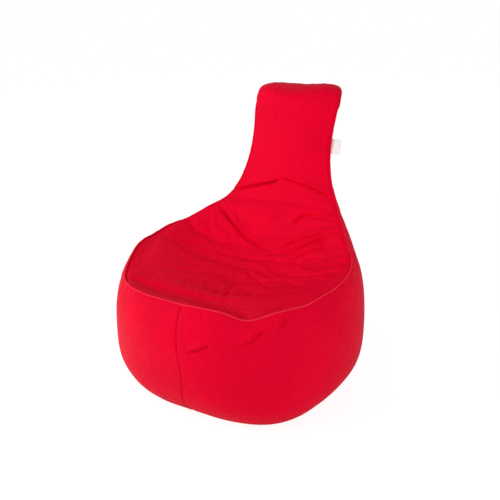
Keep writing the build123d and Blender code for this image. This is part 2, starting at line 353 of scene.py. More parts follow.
class BeanBagStageSettings(bpy.types.PropertyGroup):
    """Studio, light and camera."""

    camera_place: place_setting("Camera", "Place of the camera", (1.233, -2.0733, 1.324))
    camera_aim: place_setting("Aim", "Point that the camera looks at", (0.0038, 0.0166, 0.4546))
    lens: FloatProperty(
        name="Lens", description="Focal length on a 36 mm sensor", default=55.9, subtype="DISTANCE_CAMERA")
    floor_size: length_setting("Floor", "Width of the floor", 240.0)
    floor_drop: length_setting("Floor Drop", "Depth of the floor under the cloth", 0.0006)
    floor_glow: share_setting("Floor Glow", "How much of the floor is plain white", 0.72)
    sky: FloatProperty(name="Sky", description="Strength of the light from all round", default=0.46)
    key: power_setting("Key", "Power of the large lamp at the left", 70.0)
    fill: power_setting("Fill", "Power of the lamp at the right", 37.0)


class BeanBagSettings(bpy.types.PropertyGroup):
    """All settings of the chair and its studio."""

    cover: PointerProperty(type=BeanBagCoverSettings)
    stitch: PointerProperty(type=BeanBagStitchSettings)
    label: PointerProperty(type=BeanBagLabelSettings)
    stage: PointerProperty(type=BeanBagStageSettings)


def settings():
    return bpy.context.scene.bean_bag


# Materials

def new_material(name):
    """Empty node material, its tree and its main shader."""
    material = bpy.data.materials.new(name)
    material.use_nodes = True
    tree = material.node_tree
    return material, tree, tree.nodes["Principled BSDF"]


def add_node(tree, kind, **values):
    node = tree.nodes.new(kind)
    for name, value in values.items():
        setattr(node, name, value)
    return node


def set_inputs(tree, node, inputs):
    """Sets a node's inputs, by name or number, to values or links them to other sockets."""
    for name, value in inputs.items():
        if isinstance(value, bpy.types.NodeSocket):
            tree.links.new(value, node.inputs[name])
        else:
            node.inputs[name].default_value = value


def calculate(tree, operation, first, second):
    """Math node over two sockets or numbers."""
    node = add_node(tree, "ShaderNodeMath", operation=operation)
    set_inputs(tree, node, {0: first, 1: second})
    return node.outputs[0]


def noise(tree, vector, scale, detail=2.0, stretch=(1, 1, 1)):
    """Noise over a coordinate, stretched along its axes."""
    mapping = add_node(tree, "ShaderNodeMapping")
    set_inputs(tree, mapping, {"Scale": stretch, "Vector": vector})
    node = add_node(tree, "ShaderNodeTexNoise")
    set_inputs(tree, node, {"Scale": scale, "Detail": detail, "Vector": mapping.outputs["Vector"]})
    return node.outputs["Fac"]


def between(tree, value, low, high, from_low=0.3, from_high=0.7):
    """Map a value into a range."""
    node = add_node(tree, "ShaderNodeMapRange")
    limits = {"From Min": from_low, "From Max": from_high, "To Min": low, "To Max": high}
    set_inputs(tree, node, {"Value": value, **limits})
    return node.outputs["Result"]


def two_tones(tree, factor, dark, light):
    """Colour between two tones."""
    node = add_node(tree, "ShaderNodeMix", data_type="RGBA")
    colours = [socket for socket in node.inputs if socket.type == "RGBA"]
    colours[0].default_value = (*dark, 1)
    colours[1].default_value = (*light, 1)
    tree.links.new(factor, node.inputs["Factor"])
    return next(socket for socket in node.outputs if socket.type == "RGBA")


def object_place(tree):
    return add_node(tree, "ShaderNodeTexCoord").outputs["Object"]


def bump(tree, height, depth, strength, below=None):
    node = add_node(tree, "ShaderNodeBump")
    set_inputs(tree, node, {"Distance": depth, "Strength": strength, "Height": height})
    if below:
        tree.links.new(below, node.inputs["Normal"])
    return node.outputs["Normal"]


def shade(colour, factor):
    return tuple(channel * factor for channel in colour)


def plain_weave(tree, vector, pitch):
    """Height of crossing threads over a coordinate in metres."""
    parts = add_node(tree, "ShaderNodeSeparateXYZ")
    tree.links.new(vector, parts.inputs[0])
    turn = 2 * math.pi / pitch
    warp = calculate(tree, "SINE", calculate(tree, "MULTIPLY", parts.outputs[0], turn), 0)
    weft = calculate(tree, "SINE", calculate(tree, "MULTIPLY", parts.outputs[1], turn), 0)
    return calculate(tree, "MULTIPLY_ADD", calculate(tree, "MULTIPLY", warp, weft), 0.5)


def woven_material(name, colour, pitch=0.0011, sheen=0.0, depth=0.0004, gloss=(1, 0.18, 0.30)):
    """Woven cloth with uneven threads, faint tone changes and small crumples."""
    material, tree, shader = new_material(name)
    uv = add_node(tree, "ShaderNodeUVMap", uv_map=WEAVE_UV).outputs["UV"]
    place = object_place(tree)
    slubs = noise(tree, uv, 1.0, 3.0, (24, 900, 1))
    cross = noise(tree, uv, 1.0, 3.0, (900, 24, 1))
    threads = calculate(tree, "ADD", slubs, cross)
    clouds = noise(tree, place, 7.0, 3.0)
    streaks = calculate(tree, "MULTIPLY", threads, 0.25)
    tone = calculate(tree, "ADD", streaks, calculate(tree, "MULTIPLY", clouds, 0.5))
    tone = between(tree, tone, 0, 1, 0.35, 0.65)
    crumple = bump(tree, noise(tree, place, 38.0, 4.0), 0.012, 0.30)
    weave = calculate(tree, "ADD", plain_weave(tree, uv, pitch), threads)
    set_inputs(tree, shader, {
        "Base Color": two_tones(tree, tone, shade(colour, 0.90), shade(colour, 1.08)),
        "Roughness": between(tree, threads, 0.38, 0.52, 0.7, 1.3),
        "Normal": bump(tree, weave, depth, 0.35, crumple),
        "Specular IOR Level": 0.03,
        "Specular Tint": (*gloss, 1),
        "Sheen Weight": sheen,
        "Sheen Roughness": 0.45,
        "Sheen Tint": (*gloss, 1),
    })
    return material


def thread_material(name, colour):
    """Twisted sewing thread."""
    material, tree, shader = new_material(name)
    twist = noise(tree, object_place(tree), 900.0, 2.0)
    set_inputs(tree, shader, {
        "Base Color": two_tones(tree, between(tree, twist, 0, 1), shade(colour, 0.7), colour),
        "Roughness": 0.5,
        "Normal": bump(tree, twist, 0.0003, 0.5),
    })
    return material


def bead_material(name, colour):
    """Small foam beads lying against each other, with painted shade in the gaps between them."""
    material, tree, shader = new_material(name)
    cells = add_node(tree, "ShaderNodeTexVoronoi")
    set_inputs(tree, cells, {"Scale": 240, "Vector": object_place(tree)})
    # Darker where the cells meet: painted shade between the beads.
    gap = between(tree, cells.outputs["Distance"], 1, 0, 0.1, 0.7)
    set_inputs(tree, shader, {
        "Base Color": two_tones(tree, gap, shade(colour, 0.75), colour),
        "Roughness": 0.7,
        "Normal": bump(tree, gap, 0.002, 0.8),
    })
    return material


def zip_tape_material(name, colour):
    """Plain woven tape of a zip."""
    material, tree, shader = new_material(name)
    weave = plain_weave(tree, object_place(tree), 0.0009)
    set_inputs(tree, shader, {
        "Base Color": two_tones(tree, weave, shade(colour, 0.75), shade(colour, 1.1)),
        "Roughness": 0.7,
        "Normal": bump(tree, weave, 0.0003, 0.5),
    })
    return material


def moulded_material(name, colour):
    """Moulded plastic with a faint grain."""
    material, tree, shader = new_material(name)
    grain = noise(tree, object_place(tree), 700.0, 3.0)
    set_inputs(tree, shader, {
        "Base Color": two_tones(tree, between(tree, grain, 0, 1), shade(colour, 0.88), colour),
        "Roughness": between(tree, grain, 0.32, 0.48),
        "Normal": bump(tree, grain, 0.0001, 0.3),
    })
    return material


def metal_material(name, colour):
    """Tumbled metal with small scratches."""
    material, tree, shader = new_material(name)
    scratches = noise(tree, object_place(tree), 1.0, 4.0, (260, 2600, 2600))
    set_inputs(tree, shader, {
        "Base Color": two_tones(tree, between(tree, scratches, 0, 1), shade(colour, 0.85), colour),
        "Roughness": between(tree, scratches, 0.24, 0.42),
        "Normal": bump(tree, scratches, 0.0001, 0.2),
        "Metallic": 1.0,
    })
    return material


def made_once(make, name, colour, **values):
    """Material of a name, made when it is first asked for."""
    return bpy.data.materials.get(name) or make(name, colour, **values)


# Meshes, and measuring the frame

def edit_mesh(mesh):
    """Edit mesh made from a mesh."""
    form = bmesh.new()
    form.from_mesh(mesh)
    return form


def new_mesh(name, form):
    """Mesh made from an edit mesh, which is used up."""
    mesh = bpy.data.meshes.new(name)
    form.to_mesh(mesh)
    form.free()
    return mesh


def surface_tree(*names):
    """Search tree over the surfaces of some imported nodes."""
    points, faces = [], []
    for name in names:
        mesh = frame["nodes"][name].data
        offset = len(points)
        points.extend(vertex.co.copy() for vertex in mesh.vertices)
        faces.extend([offset + index for index in polygon.vertices] for polygon in mesh.polygons)
    return BVHTree.FromPolygons(points, faces)


def seat_point(tree, across, uphill):
    """Point of the front panel by its place across and uphill, or None outside the rim."""
    start = SEAT_FACING * SEAT_FAR + SEAT_UPHILL * uphill + Vector((across, 0, 0))
    return tree.ray_cast(start, -SEAT_FACING)[0]


def rim_outline(tree, count=1440, steps=22):
    """Closed outline of the front panel, found by bisection along rays from the middle of the seat."""
    middle = SEAT_MIDDLE.dot(SEAT_UPHILL)
    outline = []
    for index in range(count):
        turn = 2 * math.pi * index / count
        across, uphill = math.cos(turn), math.sin(turn)
        low, high = 0.05, 1.0
        for _ in range(steps):
            reach = (low + high) / 2
            if seat_point(tree, across * reach, middle + uphill * reach):
                low = reach
            else:
                high = reach
        outline.append(seat_point(tree, across * low, middle + uphill * low))
    return np.array(outline)


def round_corners(outline, height=0.86, fade=0.04, times=160):
    """Outline with softer corners above a height."""
    weight = 0.5 * np.clip((outline[:, 2:] - height) / fade, 0, 1)
    for _ in range(times):
        middle = (np.roll(outline, 1, axis=0) + np.roll(outline, -1, axis=0)) / 2
        outline = outline + weight * (middle - outline)
    return outline


def run_lengths(points):
    """Length along an open run of points, at each point."""
    steps = np.linalg.norm(np.diff(points, axis=0), axis=1)
    return np.concatenate([[0], np.cumsum(steps)])


def at_length(points, lengths, places):
    """Points of a run at given lengths along it."""
    return np.stack([np.interp(places, lengths, points[:, axis]) for axis in range(3)], axis=1)


def rim_loop(tree, cover, seam_share=0.25):
    """Rim points from the front seam, right half first, with their shares of the way round.

    The columns are narrower near the seam.
    """
    outline = round_corners(rim_outline(tree))
    uphill = outline @ np.array(SEAT_UPHILL)
    front = int(np.argmin(np.abs(outline[:, 0] - FRONT_SEAM_X) + 10 * (uphill > uphill.mean())))
    top = int(np.argmin(np.abs(outline[:, 0]) + 10 * (uphill < uphill.mean())))
    turned = np.roll(outline, -front, axis=0)
    turned[0, 0] = FRONT_SEAM_X
    split = (top - front) % len(outline)
    halves = [turned[: split + 1], np.concatenate([turned[:1], turned[:split - 1:-1]])]
    half_across = cover.across // 2
    even = np.linspace(0, 1, half_across + 1)
    placed, shares = [], []
    for half in halves:
        lengths = run_lengths(half)
        total = lengths[-1]
        marks = np.concatenate([
            cover.front_corner * (seam_share * even + (1 - seam_share) * even ** 2)[:-1],
            np.linspace(cover.front_corner, total - cover.top_corner, cover.along + 1)[:-1],
            total - cover.top_corner * (1 - even),
        ])
        placed.append(at_length(half, lengths, marks))
        shares.append(marks / total)
    right, left = placed
    rim = np.concatenate([right, left[-2:0:-1]])
    share = np.concatenate([shares[0], 2 - shares[1][-2:0:-1]])
    return rim, share


def wall_axis(height):
    """Point of the inner axis at one height."""
    return np.array([FRONT_SEAM_X, np.interp(height, AXIS_HEIGHTS, AXIS_PLACES), height])


# The cover as one sewn form

def patch_points(tree, cover, rim):
    """Grid of front panel points, blended from the sides of the rim, evened out and set on the seat."""
    across, along = cover.across, cover.along
    half = across // 2
    ring = np.roll(rim, half, axis=0)
    sides = (
        ring[: across + 1],
        ring[across: across + along + 1],
        ring[across + along: 2 * across + along + 1][::-1],
        np.concatenate([ring[2 * across + along:], ring[:1]])[::-1],
    )
    flat = [np.stack([side[:, 0], side @ np.array(SEAT_UPHILL)], axis=1) for side in sides]
    bottom, right, top, left = flat
    u = np.linspace(0, 1, across + 1)[None, :, None]
    v = np.linspace(0, 1, along + 1)[:, None, None]
    grid = (1 - v) * bottom[None] + v * top[None] + (1 - u) * left[:, None] + u * right[:, None]
    grid -= (1 - v) * ((1 - u) * bottom[0] + u * bottom[-1]) + v * ((1 - u) * top[0] + u * top[-1])
    for _ in range(PANEL_ROUNDS):
        grid[1:-1, 1:-1] = (grid[:-2, 1:-1] + grid[2:, 1:-1] + grid[1:-1, :-2] + grid[1:-1, 2:]) / 4
    points = np.zeros((along + 1, across + 1, 3))
    for row in range(1, along):
        for column in range(1, across):
            points[row, column] = seat_point(tree, *grid[row, column])
    points[0], points[:, -1], points[-1], points[:, 0] = sides
    return points


def wall_point(tree, turn, height):
    """Outermost point of the wall in one direction at one height."""
    middle = Vector(wall_axis(height))
    direction = Vector((math.cos(turn), math.sin(turn), 0))
    hit = tree.ray_cast(middle + direction * WALL_FAR, -direction, WALL_FAR)[0]
    return hit or tree.find_nearest(middle + direction * WALL_INSIDE)[0]


def wall_rows(tree, cover, rim, share):
    """Rows of wall points from below the rim to the base seam, column by column."""
    offsets = np.array([point - wall_axis(point[2]) for point in rim])
    rim_turns = np.arctan2(offsets[:, 1], offsets[:, 0])
    rim_turns = np.where(rim_turns < -math.pi / 2 - 1e-6, rim_turns + 2 * math.pi, rim_turns)
    rim_turns[0] = -math.pi / 2
    rear = math.pi / 2
    base_turns = rim_turns + (rear - rim_turns) * np.minimum(share, 2 - share) ** 3
    rows = []
    for row in range(1, cover.down + 1):
        fall = row / cover.down
        heights = rim[:, 2] + (BASE_SEAM_Z - rim[:, 2]) * fall
        turns = rim_turns + (base_turns - rim_turns) * fall
        rows.append([wall_point(tree, turn, height) for turn, height in zip(turns, heights)])
    grid = np.concatenate([rim[None], np.array(rows)])
    for _ in range(WALL_ROUNDS):
        beside = np.roll(grid, 1, axis=1) + np.roll(grid, -1, axis=1)
        grid[1:-1] = (beside[1:-1] + grid[:-2] + grid[2:]) / 4
    return grid[1:]


def rim_order(cover):
    """Row and column of each rim vertex in the front panel's grid, in the order of the rim loop."""
    across, along = cover.across, cover.along
    order = [(0, column) for column in range(across // 2, across)]
    order += [(row, across) for row in range(along)]
    order += [(along, column) for column in range(across, 0, -1)]
    order += [(row, 0) for row in range(along, 0, -1)]
    return order + [(0, column) for column in range(across // 2)]


def lower_ring(form, ring, points):
    """Extrudes one row of wall faces from a ring and sets the new ring on its points."""
    numbers = {vertex: index for index, vertex in enumerate(ring)}
    edges = []
    for index, vertex in enumerate(ring):
        after = ring[(index + 1) % len(ring)]
        edges.append(next(edge for edge in vertex.link_edges if edge.other_vert(vertex) is after))
    made = bmesh.ops.extrude_edge_only(form, edges=edges)["geom"]
    lower = [None] * len(ring)
    for vertex in made:
        if isinstance(vertex, bmesh.types.BMVert):
            beside = (edge.other_vert(vertex) for edge in vertex.link_edges)
            upper = next(near for near in beside if near in numbers)
            lower[numbers[upper]] = vertex
            vertex.co = points[numbers[upper]]
    return lower, [face for face in made if isinstance(face, bmesh.types.BMFace)]


def sew_form(cover):
    """Mesh of front panel and side bands in one, with the panel of each face as its material index."""
    panel_tree = surface_tree("front_panel")
    wall_tree = surface_tree(*WALL_NODES)
    rim, share = rim_loop(panel_tree, cover)
    patch = patch_points(panel_tree, cover, rim)
    rows = wall_rows(wall_tree, cover, rim, share)
    form = bmesh.new()
    weave = form.loops.layers.uv.new(WEAVE_UV)
    bmesh.ops.create_grid(form, x_segments=cover.across, y_segments=cover.along, size=1)
    slots = {}
    for vertex in form.verts:
        place = round((vertex.co.y + 1) / 2 * cover.along), round((vertex.co.x + 1) / 2 * cover.across)
        slots[place] = vertex
        vertex.co = patch[place]
    for face in form.faces:
        for loop in face.loops:
            loop[weave].uv = loop.vert.co.x, loop.vert.co.dot(SEAT_UPHILL)
    ring = [slots[place] for place in rim_order(cover)]
    girth = run_lengths(np.concatenate([rows[len(rows) // 2], rows[len(rows) // 2][:1]]))
    depth = np.zeros(len(ring))
    above = rim
    for points in rows:
        deeper = depth + np.linalg.norm(points - above, axis=1)
        ring_numbers = {vertex: index for index, vertex in enumerate(ring)}
        lower, faces = lower_ring(form, ring, points)
        lower_numbers = {vertex: index for index, vertex in enumerate(lower)}
        for face in faces:
            columns = [ring_numbers.get(vertex, lower_numbers.get(vertex)) for vertex in face.verts]
            closing = max(columns) - min(columns) > 1
            face.material_index = RIGHT if max(columns) <= len(ring) // 2 and not closing else LEFT
            for loop, column in zip(face.loops, columns):
                fall = depth[column] if loop.vert in ring_numbers else deeper[column]
                loop[weave].uv = girth[-1 if closing and column == 0 else column], -fall
        ring, depth, above = lower, deeper, points
    bmesh.ops.recalc_face_normals(form, faces=form.faces)
    return new_mesh(FORM_NAME, form)


def mesh_points(mesh):
    points = np.zeros(len(mesh.vertices) * 3)
    mesh.vertices.foreach_get("co", points)
    return points.reshape(-1, 3)


def set_points(mesh, points):
    mesh.vertices.foreach_set("co", points.ravel())
    mesh.update()


def mesh_normals(mesh):
    normals = np.zeros(len(mesh.vertices) * 3)
    mesh.vertex_normals.foreach_get("vector", normals)
    return normals.reshape(-1, 3)


def panel_vertices(mesh, panel):
    """Mask of the vertices that a panel uses."""
    mask = np.zeros(len(mesh.vertices), bool)
    for polygon in mesh.polygons:
        if polygon.material_index == panel:
            mask[list(polygon.vertices)] = True
    return mask


def walk_edges(edges):
    """Vertices along a chain or loop of edges, in order."""
    links = {}
    for edge in edges:
        first, second = edge.verts
        links.setdefault(first, []).append(second)
        links.setdefault(second, []).append(first)
    ends = [vertex for vertex, near in links.items() if len(near) == 1]
    vertex = min(ends or links, key=lambda candidate: (-candidate.co.z if ends else candidate.co.y))
    chain, before = [vertex], None
    while True:
        after = next((near for near in links[vertex] if near is not before and near is not chain[0]), None)
        if after is None:
            return chain
        chain.append(after)
        vertex, before = after, vertex


def seam_points(mesh, first, second=None, front_only=False):
    """Points along the seam of two panels or, with one panel, along the lower edge of the bands."""
    form = edit_mesh(mesh)
    edges = []
    for edge in form.edges:
        panels = {face.material_index for face in edge.link_faces}
        if second is None:
            wanted = edge.is_boundary
        else:
            wanted = len(panels) == 2 and (first in panels) and bool(panels & set(second))
        if wanted and not (front_only and edge.verts[0].co.y > 0):
            edges.append(edge)
    points = np.array([vertex.co for vertex in walk_edges(edges)])
    form.free()
    return points


def nearest_on(points, run):
    """Distance of each point from the points of a run, and the number of the nearest one."""
    tree = KDTree(len(run))
    for index, point in enumerate(run):
        tree.insert(point, index)
    tree.balance()
    found = [tree.find(point) for point in points]
    return np.array([item[2] for item in found]), np.array([item[1] for item in found])


def inside_box(points, run, margin):
    """Mask of the points inside the box of a run, grown by a margin."""
    run = np.array(run)
    return np.all((points > run.min(axis=0) - margin) & (points < run.max(axis=0) + margin), axis=1)


def run_distance(points, run):
    """Distance of each point from a run of lines, its nearest place there and the share along the run."""
    run = np.array(run, float)
    lengths = run_lengths(run)
    best = np.full(len(points), np.inf)
    nearest = np.zeros_like(points)
    share = np.zeros(len(points))
    for index in range(len(run) - 1):
        line = run[index + 1] - run[index]
        place = np.clip((points - run[index]) @ line / (line @ line), 0, 1)
        foot = run[index] + place[:, None] * line
        distance = np.linalg.norm(points - foot, axis=1)
        closer = distance < best
        best[closer] = distance[closer]
        nearest[closer] = foot[closer]
        reached = lengths[index] + place * (lengths[index + 1] - lengths[index])
        share[closer] = reached[closer] / lengths[-1]
    return best, nearest, share


def fade_ends(share, fade=0.25):
    """One along the middle of a run, falling to nothing at its ends."""
    rise = np.clip(np.minimum(share, 1 - share) / fade, 0, 1)
    return rise * rise * (3 - 2 * rise)


def pushed(points):
    """Points after the slow pushes."""
    moved = points.copy()
    for place, reach, shift in PUSHES:
        distance = np.linalg.norm(points - np.array(place), axis=1)
        moved += np.exp(-((distance / reach) ** 2))[:, None] * np.array(shift)
    return moved


def gathers(run, gap, total, seed, height, spacing=0.024, width=0.006, length=0.035, start=0.006):
    """Height of small gathers beside a closed seam, each with its own place, size and slant."""
    random = np.random.default_rng(seed)
    move = np.zeros(len(run))
    place = 0.0
    rise = 1 - np.exp(-gap / start)
    while place < total:
        tall = height * random.uniform(-0.7, 1.0)
        wide = width * random.uniform(0.7, 1.5)
        reach = length * random.uniform(0.5, 1.6)
        slant = random.uniform(-0.5, 0.5)
        offset = (run - place - slant * gap + total / 2) % total - total / 2
        move += tall * rise * np.exp(-((offset / wide) ** 2) - gap / reach)
        place += spacing * random.uniform(0.5, 1.7)
    return move


def rim_waves(run, total, seed, count=14):
    """Uneven line of the rim as a sum of slow waves, from minus one to one."""
    random = np.random.default_rng(seed)
    waves = np.zeros(len(run))
    for number in range(4, 4 + count * 2, 2):
        size = random.uniform(0.4, 1)
        phase = random.uniform(0, 6.28)
        waves += size * np.sin(2 * math.pi * number * run / total + phase)
    return waves / count * 2


def rim_places(mesh, points):
    """Distance of each point from the rim, its length along the rim and the length of the whole rim."""
    rim = seam_points(mesh, FRONT, (LEFT, RIGHT))
    gap, number = nearest_on(points, rim)
    lengths = run_lengths(rim)
    return gap, lengths[number], lengths[-1]


def shape_form(mesh, cover):
    """Gives the sewn form its uneven stance, the narrow rear of its headrest and its uneven rim."""
    points = pushed(mesh_points(mesh))
    height = points[:, 2]
    gap, run, total = rim_places(mesh, points)
    rise = np.clip((height - NARROW_START) / NARROW_RISE, 0, 1)
    raised = rise * np.clip((NARROW_END - height) / NARROW_FALL, 0, 1)
    narrow = cover.rear_narrowing * raised * (1 - np.exp(-gap / NARROW_REACH))
    moved = points.copy()
    moved[:, 0] -= np.where(panel_vertices(mesh, FRONT), 0, narrow * points[:, 0])
    waves = RIM_WAVER * rim_waves(run, total, seed=3)
    waves += RIM_RIPPLE * rim_waves(run, total, seed=9, count=40)
    moved[:, 2] += waves * np.exp(-gap / RIM_REACH)
    set_points(mesh, moved)


def fold_cloth(mesh, cover, points, widen=1.0):
    """Presses creases, ridges and gathers into the cloth, placed by its points before it settled."""
    normals = mesh_normals(mesh)
    move = np.zeros(len(points))
    drift = np.zeros_like(points)
    for run, depth, width, swelling, droop, side in CREASES:
        width = widen * width
        near = np.flatnonzero(inside_box(points, run, CREASE_REACH * width))
        distance, nearest, share = run_distance(points[near], run)
        fade = fade_ends(share)
        side = np.array(side) / np.linalg.norm(side)
        above = (points[near] - nearest) @ side
        valley = np.exp(-((distance / width) ** 2))
        swell = (above > 0) * np.exp(-(((distance - SWELL_MIDDLE * width) / (SWELL_WIDTH * width)) ** 2))
        move[near] += fade * (swelling * swell - depth * valley)
        drift[near] -= (fade * droop * swell)[:, None] * side
    for run, height, width in RIDGES:
        near = np.flatnonzero(inside_box(points, run, CREASE_REACH * width))
        distance, _, share = run_distance(points[near], run)
        ridge = height * np.exp(-((distance / width) ** 2))
        move[near] += ridge * np.clip(fade_ends(share, RIDGE_FADE) + RIDGE_END, 0, 1)
    gap, run, total = rim_places(mesh, points)
    on_front = panel_vertices(mesh, FRONT)
    height = cover.gather_height
    move += np.where(on_front, 0, gathers(run, gap, total, seed=5, height=height))
    move += np.where(on_front, gathers(run, gap, total, seed=8, height=PANEL_GATHERS * height), 0)
    set_points(mesh, mesh_points(mesh) + drift + normals * move[:, None])


def spread(mesh, values, times=30):
    """Values at the vertices, evened out along the edges."""
    ends = np.zeros(len(mesh.edges) * 2, int)
    mesh.edges.foreach_get("vertices", ends)
    ends = ends.reshape(-1, 2)
    first, second = np.concatenate([ends, ends[:, ::-1]]).T
    near = np.bincount(first, minlength=len(values))
    for _ in range(times):
        evened = [np.bincount(first, axis[second], len(values)) / near for axis in values.T]
        values = np.stack(evened, axis=1)
    return values


def modified_mesh(obj):
    """New mesh of an object's shape with its modifiers."""
    return bpy.data.meshes.new_from_object(obj.evaluated_get(bpy.context.evaluated_depsgraph_get()))


def settle(obj, cover):
    """Lets the filling press on the cloth, held along its seams, and keeps only the new wrinkles."""
    mesh = obj.data
    start = mesh_points(mesh)
    seams = np.concatenate([
        seam_points(mesh, FRONT, (LEFT, RIGHT)),
        seam_points(mesh, FRONT),
        seam_points(mesh, LEFT, (RIGHT,), front_only=True),
    ])
    gap, _ = nearest_on(start, seams)
    held = obj.vertex_groups.new(name="held")
    for index, distance in enumerate(gap):
        held.add([index], SEAM_HOLD if distance < SEAM_REACH else OPEN_HOLD, "REPLACE")
    modifier = obj.modifiers.new("settle", "CLOTH")
    for name, value in SETTLING_CLOTH.items():
        setattr(modifier.settings, name, value)
    modifier.settings.vertex_group_mass = held.name
    modifier.settings.effector_weights.gravity = 0
    modifier.collision_settings.use_collision = False
    modifier.collision_settings.use_self_collision = False
    modifier.point_cache.frame_start = 1
    modifier.point_cache.frame_end = cover.settle_frames
    scene = bpy.context.scene
    for number in range(1, cover.settle_frames + 1):
        scene.frame_set(number)
    settled = modified_mesh(obj)
    move = mesh_points(settled) - start
    bpy.data.meshes.remove(settled)
    obj.modifiers.clear()
    obj.vertex_groups.clear()
    scene.frame_set(1)
    move = cover.wrinkle_gain * (move - spread(mesh, move))
    length = np.linalg.norm(move, axis=1)
    limit = cover.settle_limit
    short = limit * np.tanh(length / limit) / np.maximum(length, 1e-9)
    set_points(mesh, start + move * short[:, None])


def apply_modifiers(obj):
    """Makes the modified shape the object's own mesh."""
    mesh = modified_mesh(obj)
    obj.modifiers.clear()
    old = obj.data
    obj.data = mesh
    bpy.data.meshes.remove(old)


def link_object(name, data):
    obj = bpy.data.objects.new(name, data)
    bpy.context.scene.collection.objects.link(obj)
    return obj


def subdivide(obj):
    modifier = obj.modifiers.new("rounding", "SUBSURF")
    modifier.levels = 1
    modifier.render_levels = 1
    apply_modifiers(obj)


def draw_in_seams(mesh, cover, stitch):
    """Draws the cloth in along the front seam and its stitched row, and on the seat beside the rim."""
    points = mesh_points(mesh)
    normals = mesh_normals(mesh)
    rim_gap, _ = nearest_on(points, seam_points(mesh, FRONT, (LEFT, RIGHT)))
    seam = seam_points(mesh, LEFT, (RIGHT,), front_only=True)
    seam_gap, _ = nearest_on(points, seam)
    row_gap, _ = nearest_on(points, seam + np.array([stitch.offset, 0, 0]))
    width = cover.groove_width
    move = -cover.groove * np.exp(-((seam_gap / width) ** 2))
    move -= ROW_DEPTH * cover.groove * np.exp(-((row_gap / (ROW_WIDTH * width)) ** 2))
    hollow = np.exp(-(((rim_gap - HOLLOW_MIDDLE) / HOLLOW_WIDTH) ** 2))
    move -= np.where(panel_vertices(mesh, FRONT), HOLLOW_DEPTH * cover.groove * hollow, 0)
    set_points(mesh, points + normals * move[:, None])


def back_seam_plane(side):
    """Point and normal of the plane of one back seam."""
    normal = Vector((1, 0, side * BACK_SEAM_SLOPE)).normalized()
    return Vector((side * BACK_SEAM_FLOOR, 0, 0)), normal


def at_rear(face):
    """True for a face of the bands at the rear of the bag."""
    return face.calc_center_median().y > REAR_START and face.material_index != FRONT


def cut_back_seams(mesh, cover):
    """Cuts the bands along the back seams, draws those in and marks the back panel's faces."""
    form = edit_mesh(mesh)
    for side in (-1, 1):
        place, normal = back_seam_plane(side)
        for offset in BACK_SEAM_CUTS:
            near = []
            for face in form.faces:
                gap = abs((face.calc_center_median() - place).dot(normal))
                if gap < BACK_SEAM_REACH and at_rear(face):
                    near.append(face)
            edges = dict.fromkeys(edge for face in near for edge in face.edges)
            verts = dict.fromkeys(vertex for face in near for vertex in face.verts)
            bmesh.ops.bisect_plane(
                form, geom=[*verts, *edges, *near], dist=1e-5,
                plane_co=place + normal * offset, plane_no=normal)
    form.normal_update()
    normals = {vertex: vertex.normal.copy() for vertex in form.verts}
    for vertex, normal in normals.items():
        if vertex.co.y > REAR_START and any(face.material_index != FRONT for face in vertex.link_faces):
            gap = min(abs((vertex.co - place).dot(plane)) for place, plane in map(back_seam_plane, (-1, 1)))
            vertex.co -= normal * cover.groove * math.exp(-((gap / cover.groove_width) ** 2))
    for face in form.faces:
        middle = face.calc_center_median()
        if at_rear(face) and abs(middle.x) < BACK_SEAM_FLOOR - BACK_SEAM_SLOPE * middle.z:
            face.material_index = BACK
    form.to_mesh(mesh)
    form.free()


def across_neck(obj):
    """Bakes a piece's place into its mesh."""
    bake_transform(obj)


def smooth_faces(mesh, angle=None):
    mesh.shade_smooth()
    if angle is not None:
        mesh.set_sharp_from_angle(angle=angle)


def sewn_form():
    return bpy.data.meshes[FORM_NAME]


class BEANBAG_OT_cover(bpy.types.Operator):
    """Sews the cover, lets it settle and parts it into its panels"""

    bl_idname = "beanbag.cover"
    bl_label = "Cover Panels"

    def execute(self, context):
        cover = settings().cover
        whole = link_object("cover_pattern", sew_form(cover))
        shape_form(whole.data, cover)
        plain = link_object("unsettled_cover", whole.data.copy())
        settle(whole, cover)
        inside = whole.data.copy()
        inside.name = INSIDE_NAME
        inside.use_fake_user = True
        fold_cloth(inside, cover, mesh_points(plain.data), widen=INSIDE_WIDTH)
        subdivide(plain)
        subdivide(whole)
        fold_cloth(whole.data, cover, mesh_points(plain.data))
        bpy.data.objects.remove(plain)
        draw_in_seams(whole.data, cover, settings().stitch)
        cut_back_seams(whole.data, cover)
        for number, name, node in PANELS:
            self.part_panel(whole.data, cover, number, name, node)
        form = whole.data
        bpy.data.objects.remove(whole)
        form.name = FORM_NAME
        form.use_fake_user = True
        return {"FINISHED"}

    def part_panel(self, form_mesh, cover, number, name, node):
        """One panel of the form, as cloth with a thickness."""
        panel = edit_mesh(form_mesh)
        others = [face for face in panel.faces if face.material_index != number]
        bmesh.ops.delete(panel, geom=others, context="FACES")
        for face in panel.faces:
            face.material_index = 0
        obj = link_object(name, new_mesh(name, panel))
        wall = obj.modifiers.new("cloth", "SOLIDIFY")
        wall.thickness = cover.thickness
        wall.offset = -1
        apply_modifiers(obj)
        smooth_faces(obj.data)
        obj.data.materials.append(made_once(woven_material, "red_polyester", cover.red))
        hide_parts(node)
        across_neck(obj)


